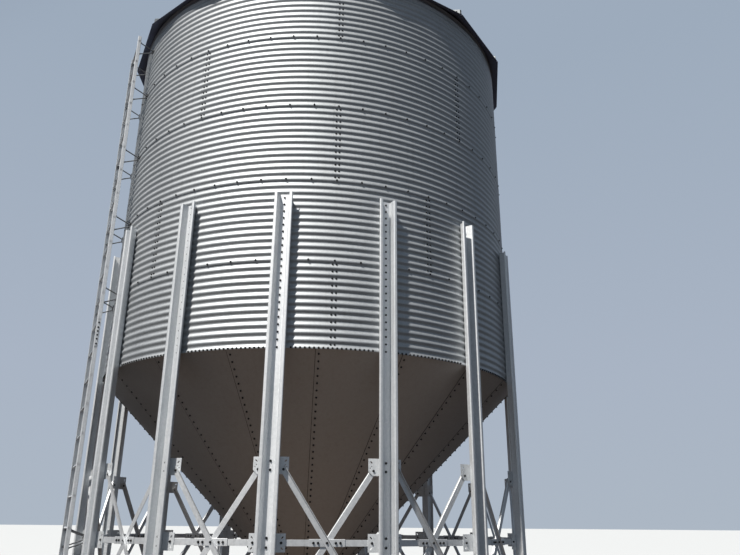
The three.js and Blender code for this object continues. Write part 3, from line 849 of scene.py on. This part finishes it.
# %% Roof panels, straight from eave to peak
ROOF_PITCH = math.radians(30)
ROOF_RISE = math.tan(ROOF_PITCH)
EAVE_RADIUS, PEAK_RADIUS = 2413 * MM, 330 * MM
PANEL_APOTHEM = EAVE_RADIUS * math.cos(HALF_BAY)
EAVE_HEIGHT = WALL_TOP - (PANEL_APOTHEM - CREST) * ROOF_RISE
PEAK_HEIGHT = EAVE_HEIGHT + (PANEL_APOTHEM - PEAK_RADIUS) * ROOF_RISE
ROOF_SHEET, PANEL_DROP, PANEL_GAP = 2 * MM, 5 * MM, 1 * MM

# One panel at the front, folded down at its eave: its upper half and its underside
eave = PANEL_APOTHEM - np.array([4, 1, 3]) * MM
apothem = np.append(eave, np.linspace(PANEL_APOTHEM - 60 * MM, PEAK_RADIUS + 2 * MM, 7))[:, None]
height = EAVE_HEIGHT + PANEL_DROP + (PANEL_APOTHEM - apothem) * ROOF_RISE
height[:2, 0] -= [4 * MM, 1 * MM]
across = np.linspace(-1, 1, 9) * (apothem * math.tan(HALF_BAY) - PANEL_GAP)
outer = np.stack(np.broadcast_arrays(across, -apothem, height), axis=-1)
inner = outer + ROOF_SHEET * (BACK * math.sin(ROOF_PITCH) - UP * math.cos(ROOF_PITCH))
middle = (outer + inner) / 2
# The lower half of each panel takes the darker, bluer underside: painted shade
roof_panel = [(shell(outer, middle), roof_sheet), (shell(middle, inner), roof_underside)]
print("eave and peak height:", round(EAVE_HEIGHT, 3), round(PEAK_HEIGHT, 3))

# %% A rib over a joint between panels
RIB_INSET, RIB_HALF, RIB_SHEET = 26 * MM, 14.4 * MM, 1.8 * MM
RIB_BOLT_RISE, RIB_BOLT_END = 30 * MM, 60 * MM
JOINT_SLOPE = (PEAK_HEIGHT - EAVE_HEIGHT) / ((PANEL_APOTHEM - PEAK_RADIUS) / math.cos(HALF_BAY))
RIB_FOOT = (PANEL_APOTHEM - RIB_INSET) / math.cos(HALF_BAY)
RIB_HEAD = (PEAK_RADIUS + RIB_INSET) / math.cos(HALF_BAY)


def on_joint(radius):
    height = EAVE_HEIGHT + JOINT_SLOPE * (EAVE_RADIUS - radius) + PANEL_DROP
    return np.array([0.0, -radius, height])


def roof_rib():
    """Folded cap, its feet lying on the two panels that fall away from the joint."""
    slant = math.atan(JOINT_SLOPE)
    lift = (OUT * math.sin(slant) + UP * math.cos(slant)) * RIB_BOLT_RISE
    half = np.array([[34, -2.6], [15, -0.4], [12.5, 57], [0, 59]]) * MM
    path = with_bends(np.concatenate([half, (half[:-1] * [-1, 1])[::-1]]), 3 * MM)
    # The cap, and inside it the upstands of the two panels, seen at its open foot
    outlines = [sheet_outline(path, RIB_SHEET)]
    for x in (-6 * MM, 6 * MM):
        outlines.append(rounded_rectangle([x - 1 * MM, -2 * MM], [x + 1 * MM, 48 * MM], 0.8 * MM, 1))
    foot, head, plumb = on_joint(RIB_FOOT), on_joint(RIB_HEAD), UP / math.cos(slant)
    rib = joined([sweep(outline, foot, head, RIGHT, plumb) for outline in outlines])
    rows = np.linspace(RIB_FOOT - RIB_BOLT_END, RIB_HEAD + RIB_BOLT_END, 8)
    ways = [-RIGHT, RIGHT] * len(rows)
    heads = [on_joint(radius) + lift + way * RIB_HALF for radius, way in zip(np.repeat(rows, 2), ways)]
    return [(rib, roof_sheet), *bolts(WALL_BOLT, heads, ways)]


roof_parts = []
for n in range(LEG_COUNT):
    roof_parts += parts_at(roof_panel, (n + 0.5) * BAY_ANGLE) + parts_at(roof_rib(), n * BAY_ANGLE)
make_piece("roof_panels", roof_parts, ["roof"])

# %% [markdown]
# ## The peak collar and its lid
# Grain comes in at the peak through a round collar. The collar and the lid are turned profiles,
# which is how they are rolled: the collar stands on the panels with a clip to each and has a
# rolled upper edge, and the lid has a beaded skirt, pressed ribs and a handle.

# %% Collar, its profile in millimetres from its upper edge
COLLAR_TOP = PEAK_HEIGHT + 150 * MM
CLIP_HALF, CLIP_SHEET = 18 * MM, 3 * MM
collar = np.array([[-3, -212], [-0.3, -212], [-0.3, -9], [3, -4], [-1, 0], [-4, -4]]) * MM
angles = (np.arange(LEG_COUNT) + 0.5) * BAY_ANGLE
path = np.array([[0, 46], [0, 0], [36, -36 * ROOF_RISE]]) * MM
middle = np.array([0, -(PEAK_RADIUS + CLIP_SHEET / 2), PEAK_HEIGHT + PANEL_DROP + CLIP_SHEET])
clip = sweep(sheet_outline(with_bends(path, 4 * MM), CLIP_SHEET),
             middle - RIGHT * CLIP_HALF, middle + RIGHT * CLIP_HALF, OUT, UP)
heads = on_silo(PEAK_RADIUS + CLIP_SHEET, angles, PEAK_HEIGHT + 38 * MM)
collar_parts = [(turned(collar + [PEAK_RADIUS, COLLAR_TOP], 60), outlet_steel),
                (joined([turned_to(clip, angle) for angle in angles]), outlet_steel),
                *bolts(WALL_BOLT, heads, directions(angles)[1])]
make_piece("peak_collar_ring", collar_parts, ["peak_collar"])

# %% Lid, its skirt in millimetres from its rim, which rests on the collar
LADDER_ANGLE = -60.0
LID_RADIUS, LID_RISE = PEAK_RADIUS + 34 * MM, 82 * MM
LID_RIB_FOOT, LID_RIB_HEAD = 330 * MM, 90 * MM
ROD, GRIP_RADIUS = 5 * MM, 210 * MM


def lid_height(radius):
    """Top of the lid's shallow cone."""
    return COLLAR_TOP + 8 * MM + LID_RISE * (1 - radius / LID_RADIUS)


skirt = np.array([[-6, 5], [-3, 0], [-3, -52], [-7, -56], [-4, -60], [0, -56], [-0.5, 2]]) * MM
lid = [[0.2 * MM, lid_height(0) - 3 * MM], *(skirt + [LID_RADIUS, COLLAR_TOP + FACE_GAP]),
       [LID_RADIUS - 4 * MM, lid_height(LID_RADIUS) + 0.5 * MM], [0.2 * MM, lid_height(0)]]
# Pressed ribs on the cone, one every thirty degrees
ends = [[0, -radius, lid_height(radius)] for radius in (LID_RIB_FOOT, LID_RIB_HEAD)]
ribs = [turned_to(bar(*ends, ROD, 8), n * 30 + 15) for n in range(12)]
# Handle: a bent bar that stands on the slope towards the ladder
grip = np.array([[-70, -2], [-70, 26], [-60, 32], [60, 32], [70, 26], [70, -2]]) * MM
grip = [[x, -GRIP_RADIUS, lid_height(GRIP_RADIUS) + z] for x, z in grip]
handle = joined([bar(start, end, ROD, 8) for start, end in zip(grip[:-1], grip[1:])])
lid_shapes = [turned(lid, 72), *ribs, turned_to(handle, LADDER_ANGLE)]
make_piece("beaded_fill_lid", [(shape, outlet_steel) for shape in lid_shapes],
           ["fill_lid"])

# %% [markdown]
# ## The ladder
# Two folded channels carry round rungs. The ladder stands in the middle of a bay on the left and
# is held off the wall by pairs of thin arms that close in on one pad, which is the V that shows
# against the sky. The bright face of the nearer rail is the channel's web.

# %% Ladder dimensions, the same as the frame's
LADDER_RADIUS, RAIL_X = 2448 * MM, 237 * MM
RUNG_PITCH, RUNG_RADIUS, RUNG_PAST = 285 * MM, 11 * MM, 14 * MM
LADDER_FOOT, LADDER_TOP = 370 * MM, RIM + 4000 * MM
LADDER_JOINT = LADDER_FOOT + 10 * RUNG_PITCH


def ladder_rail(side, foot, top):
    """Channel with its web on the outer side and its flanges towards the rungs."""
    path = np.array([[-14, -17.7], [15.7, -17.7], [15.7, 17.7], [-14, 17.7]]) * MM * [side, 1]
    outline = sheet_outline(with_bends(path, 4 * MM), 2.6 * MM)
    return upright(outline, foot, top, side * RAIL_X, LADDER_RADIUS)


def rungs(foot, top):
    """Tubes with a flared collar against each rail's web."""
    shapes = []
    for height in np.arange(foot + RUNG_PITCH / 2, top, RUNG_PITCH):
        ends = [np.array([s * (RAIL_X + RUNG_PAST), -LADDER_RADIUS, height]) for s in (-1, 1)]
        shapes.append(bar(*ends, RUNG_RADIUS, 14))
        for s, end in zip((-1, 1), ends):
            shapes.append(bar(end - RIGHT * s * 6 * MM, end, 15 * MM, 14))
            shapes.append(bar(end, end + RIGHT * s * 3 * MM, 13 * MM, 14))
    return shapes


# %% Brackets and the splice between the two sections
ARM_INSET, RAIL_SPREAD, PAD_SPREAD = 12 * MM, 80 * MM, 14 * MM
ARM_RADIUS, PAD, WEB_FACE = 6.5 * MM, 5 * MM, 17 * MM
PAD_OUTLINE = np.array([[-25, -25], [25, -25], [25, 25], [-25, 25]]) * MM


def bracket(side, height, distance, face_angle):
    """Two arms from a rail to a pad on the wall or on a strut, and the seats of its bolts."""
    along, outward = directions(face_angle)
    rail = np.array([side * RAIL_X, ARM_INSET - LADDER_RADIUS, height])
    reach = (rail[0] - distance * outward[0]) / along[0]
    seat = along * reach + outward * distance + UP * height
    shapes = [sweep(PAD_OUTLINE, seat, seat + outward * PAD, along, UP)]
    for way in (-1, 1):
        top = rail + UP * way * RAIL_SPREAD
        shapes.append(bar(top, seat + outward * 4 * MM + UP * way * PAD_SPREAD, ARM_RADIUS, 10))
        shapes.append(bar(top - RIGHT * side * 6 * MM, top + RIGHT * side * 8 * MM, 13 * MM, 12))
    return joined(shapes), [(seat + outward * PAD + along * x * MM, outward) for x in (-15, 15)]


def ladder(foot, top, brackets, splice):
    shapes = [ladder_rail(side, foot, top) for side in (-1, 1)] + rungs(foot, top)
    arms, seats = [], []
    for height, distance, face in brackets:
        for side in (-1, 1):
            arm, arm_seats = bracket(side, height, distance, side * face)
            arms.append(arm)
            seats += arm_seats
    seats += [([side * (RAIL_X + WEB_FACE), -LADDER_RADIUS, height], side * RIGHT)
              for side in (-1, 1) for height in splice]
    parts = [(joined(shapes), ladder_steel), (joined(arms), arm_steel)]
    return parts_at(parts + bolts(WALL_BOLT, *zip(*seats)), LADDER_ANGLE)


WALL_FACE_ANGLE = 6.0
SPLICE_STEPS = np.array([20, 60, 110]) * MM
strut_face = BAY_DISTANCE + GUSSET / 2 + FACE_GAP
lower = ladder(LADDER_FOOT, LADDER_JOINT - FACE_GAP, [(STRUT_HEIGHT, strut_face, 0)],
               LADDER_JOINT - SPLICE_STEPS[::-1])
heights = [LADDER_TOP - 158 * MM, *[RIM + k * RING_HEIGHT - 34 * MM for k in range(1, RING_COUNT)]]
upper = ladder(LADDER_JOINT, LADDER_TOP, [(height, LEG_BACK, WALL_FACE_ANGLE) for height in heights],
               LADDER_JOINT + SPLICE_STEPS)
make_piece("ladder_lower_section", lower, ["ladder_lower"])
make_piece("ladder_upper_section", upper, ["ladder_upper"])
print("triangles in new pieces:", faces_made)

# %% [markdown]
# ## Floor, light and world
# The silo stands on a plain pale floor. Out of doors, steel shows what is round it: bright sky
# above and dark ground below, and that draws the wall's bands. So the world is bright above the
# horizon and brown-dark below it, and the pale floor is kept out of reflections and bounced light,
# or those bands and the cone would turn white. A soft sun stands to the left at fifty-five
# degrees, as the shadows of the legs on the wall say.

# %% Floor
FLOOR_HALF = 4000.0
floor_mesh = bpy.data.meshes.new("floor")
corners = [(x * FLOOR_HALF, y * FLOOR_HALF, 0) for x, y in ((-1, -1), (1, -1), (1, 1), (-1, 1))]
floor_mesh.from_pydata(corners, [], [(0, 1, 2, 3)])
floor_finish = bpy.data.materials.new("pale_floor")
floor_finish.use_nodes = True
floor_surface = floor_finish.node_tree.nodes["Principled BSDF"]
floor_surface.inputs["Base Color"].default_value = linear("#c9cbcb")
floor_surface.inputs["Roughness"].default_value = 0.9
floor_mesh.materials.append(floor_finish)
floor = new_object("floor", floor_mesh)
floor.visible_glossy = False
floor.visible_diffuse = False
print("floor side in metres:", 2 * FLOOR_HALF)

# %% World: bright above, dark below
world = bpy.data.worlds.new("studio")
scene.world = world
world.use_nodes = True
sky = world.node_tree
way = add_node(sky, "ShaderNodeTexCoord").outputs["Generated"]
rise = add_node(sky, "ShaderNodeSeparateXYZ", links={"Vector": way})
height_share = add_node(sky, "ShaderNodeMapRange", {"From Min": -1.0, "From Max": 1.0},
                        {"Value": rise.outputs["Z"]})


def sky_ramp(stops):
    """Colours from straight down, at nought, to straight up, at one; the horizon is one half."""
    ramp = add_node(sky, "ShaderNodeValToRGB", links={"Fac": height_share.outputs[0]})
    elements = ramp.color_ramp.elements
    while len(elements) < len(stops):
        elements.new(0.5)
    for element, (position, code) in zip(elements, stops):
        element.position = position
        element.color = linear(code)
    return ramp.outputs["Color"]


def blended(under, over, degrees, start, end):
    """Lays one side's colours over another's, more and more towards a direction."""
    towards = tuple(directions(degrees)[1])
    facing = add_node(sky, "ShaderNodeVectorMath", {1: towards}, {0: way}, operation="DOT_PRODUCT")
    share = add_node(sky, "ShaderNodeMapRange", {"From Min": start, "From Max": end},
                     {"Value": facing.outputs["Value"]}, interpolation_type="SMOOTHSTEP")
    mixed = add_node(sky, "ShaderNodeMix", links={"Factor": share.outputs[0], "A": under, "B": over},
                     data_type="RGBA")
    return mixed.outputs["Result"]


# Brown-dark ground that turns to pale haze only in the last half degree under the horizon
GROUND = [(0.0, "#978676"), (0.1, "#756a62"), (0.22, "#3c3b3c"), (0.35, "#242426"),
          (0.47, "#1e2023"), (0.4945, "#272b30"), (0.496, "#c4c9cd")]
dull_side = sky_ramp(GROUND + [(0.5, "#7c8692"), (0.65, "#6f7a88"), (1.0, "#5c6878")])
bright_side = sky_ramp(GROUND + [(0.5, "#9aa4af"), (0.75, "#a4afbb"), (1.0, "#6f7b8c")])
far_side = sky_ramp(GROUND + [(0.5, "#acb7c4"), (0.6, "#a9b4c4"), (0.8, "#9dabbc")])
colour = blended(dull_side, bright_side, -10.0, 0.2, 0.95)
colour = blended(colour, far_side, 180.0, 0.35, 0.7)
sky.links.new(colour, sky.nodes["Background"].inputs["Color"])
print("world nodes:", len(sky.nodes))

# %% Sun
SUN_ANGLE, SUN_RISE = -36.0, math.radians(55.0)
sun_data = bpy.data.lights.new("sun", "SUN")
sun_data.energy = 5.3
sun_data.angle = math.radians(1.5)
sun_data.color = linear("#fffaf3")[:3]
sun = new_object("sun", sun_data)
sun_way = directions(SUN_ANGLE)[1] * math.cos(SUN_RISE) + UP * math.sin(SUN_RISE)
sun.rotation_mode = "QUATERNION"
sun.rotation_quaternion = Vector(-sun_way).to_track_quat("-Z", "Y")
scene.view_settings.view_transform = "Standard"
print("sun from:", sun_way)

# %% [markdown]
# ## The camera
# The photograph was taken from the ground, eight metres from the silo's axis and a little to its
# right, with a wide lens tilted up by twenty degrees. Those numbers come from fitting the known
# pitch of the corrugation and the legs' places to the picture.

# %% Camera
CAMERA_RANGE, CAMERA_ANGLE, CAMERA_HEIGHT = 8.169, 7.8, 1.395
YAW, PITCH, ROLL = math.radians(-3.06), math.radians(19.73), 0.0079
camera_data = bpy.data.cameras.new("camera")
camera_data.lens = 33.88
camera_data.sensor_width = 36.0
camera_data.clip_end = 10000.0
camera = new_object("camera", camera_data)
ahead = Vector((math.sin(YAW) * math.cos(PITCH), math.cos(YAW) * math.cos(PITCH), math.sin(PITCH)))
right = ahead.cross(Vector((0, 0, 1))).normalized()
above = right.cross(ahead)
right, above = (right * math.cos(ROLL) + above * math.sin(ROLL),
                above * math.cos(ROLL) - right * math.sin(ROLL))
turn = Matrix((right, above, -ahead)).transposed().to_4x4()
turn.translation = Vector(on_silo(CAMERA_RANGE, CAMERA_ANGLE, CAMERA_HEIGHT))
camera.matrix_world = turn
scene.camera = camera
print("camera at:", tuple(turn.translation))
